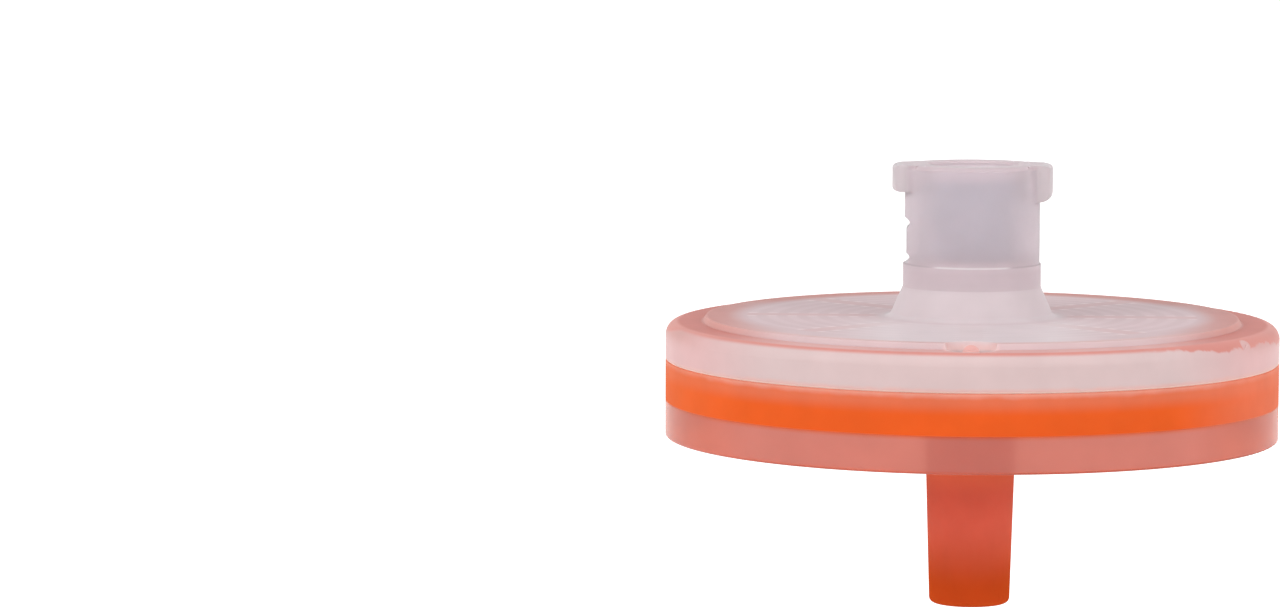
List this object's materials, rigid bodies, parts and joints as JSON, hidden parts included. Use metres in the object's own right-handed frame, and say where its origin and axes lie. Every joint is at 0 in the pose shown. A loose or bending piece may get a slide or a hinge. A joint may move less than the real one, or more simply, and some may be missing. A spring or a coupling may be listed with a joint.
{
  "type": "syringe filter",
  "caption": "Round syringe filter: a translucent inlet half with a Luer lock hub, welded over a membrane to an orange outlet half with a slip spigot.",
  "frame": {"origin": "centre of the inlet hub's mouth", "axes": "+Z along the filter's axis, out of the inlet hub; the two locking lugs are on X and the gate mark is on -Y"},
  "size_m": [0.0302, 0.0302, 0.0218],
  "materials": {
    "natural_polypropylene": "translucent natural polypropylene, as moulded",
    "filter_membrane": "matt white membrane",
    "orange_polypropylene": "translucent orange polypropylene, as moulded"
  },
  "bodies": {
    "root": {"inlet_housing": "natural_polypropylene", "membrane": "filter_membrane", "outlet_housing": "orange_polypropylene"}
  },
  "joints": []
}
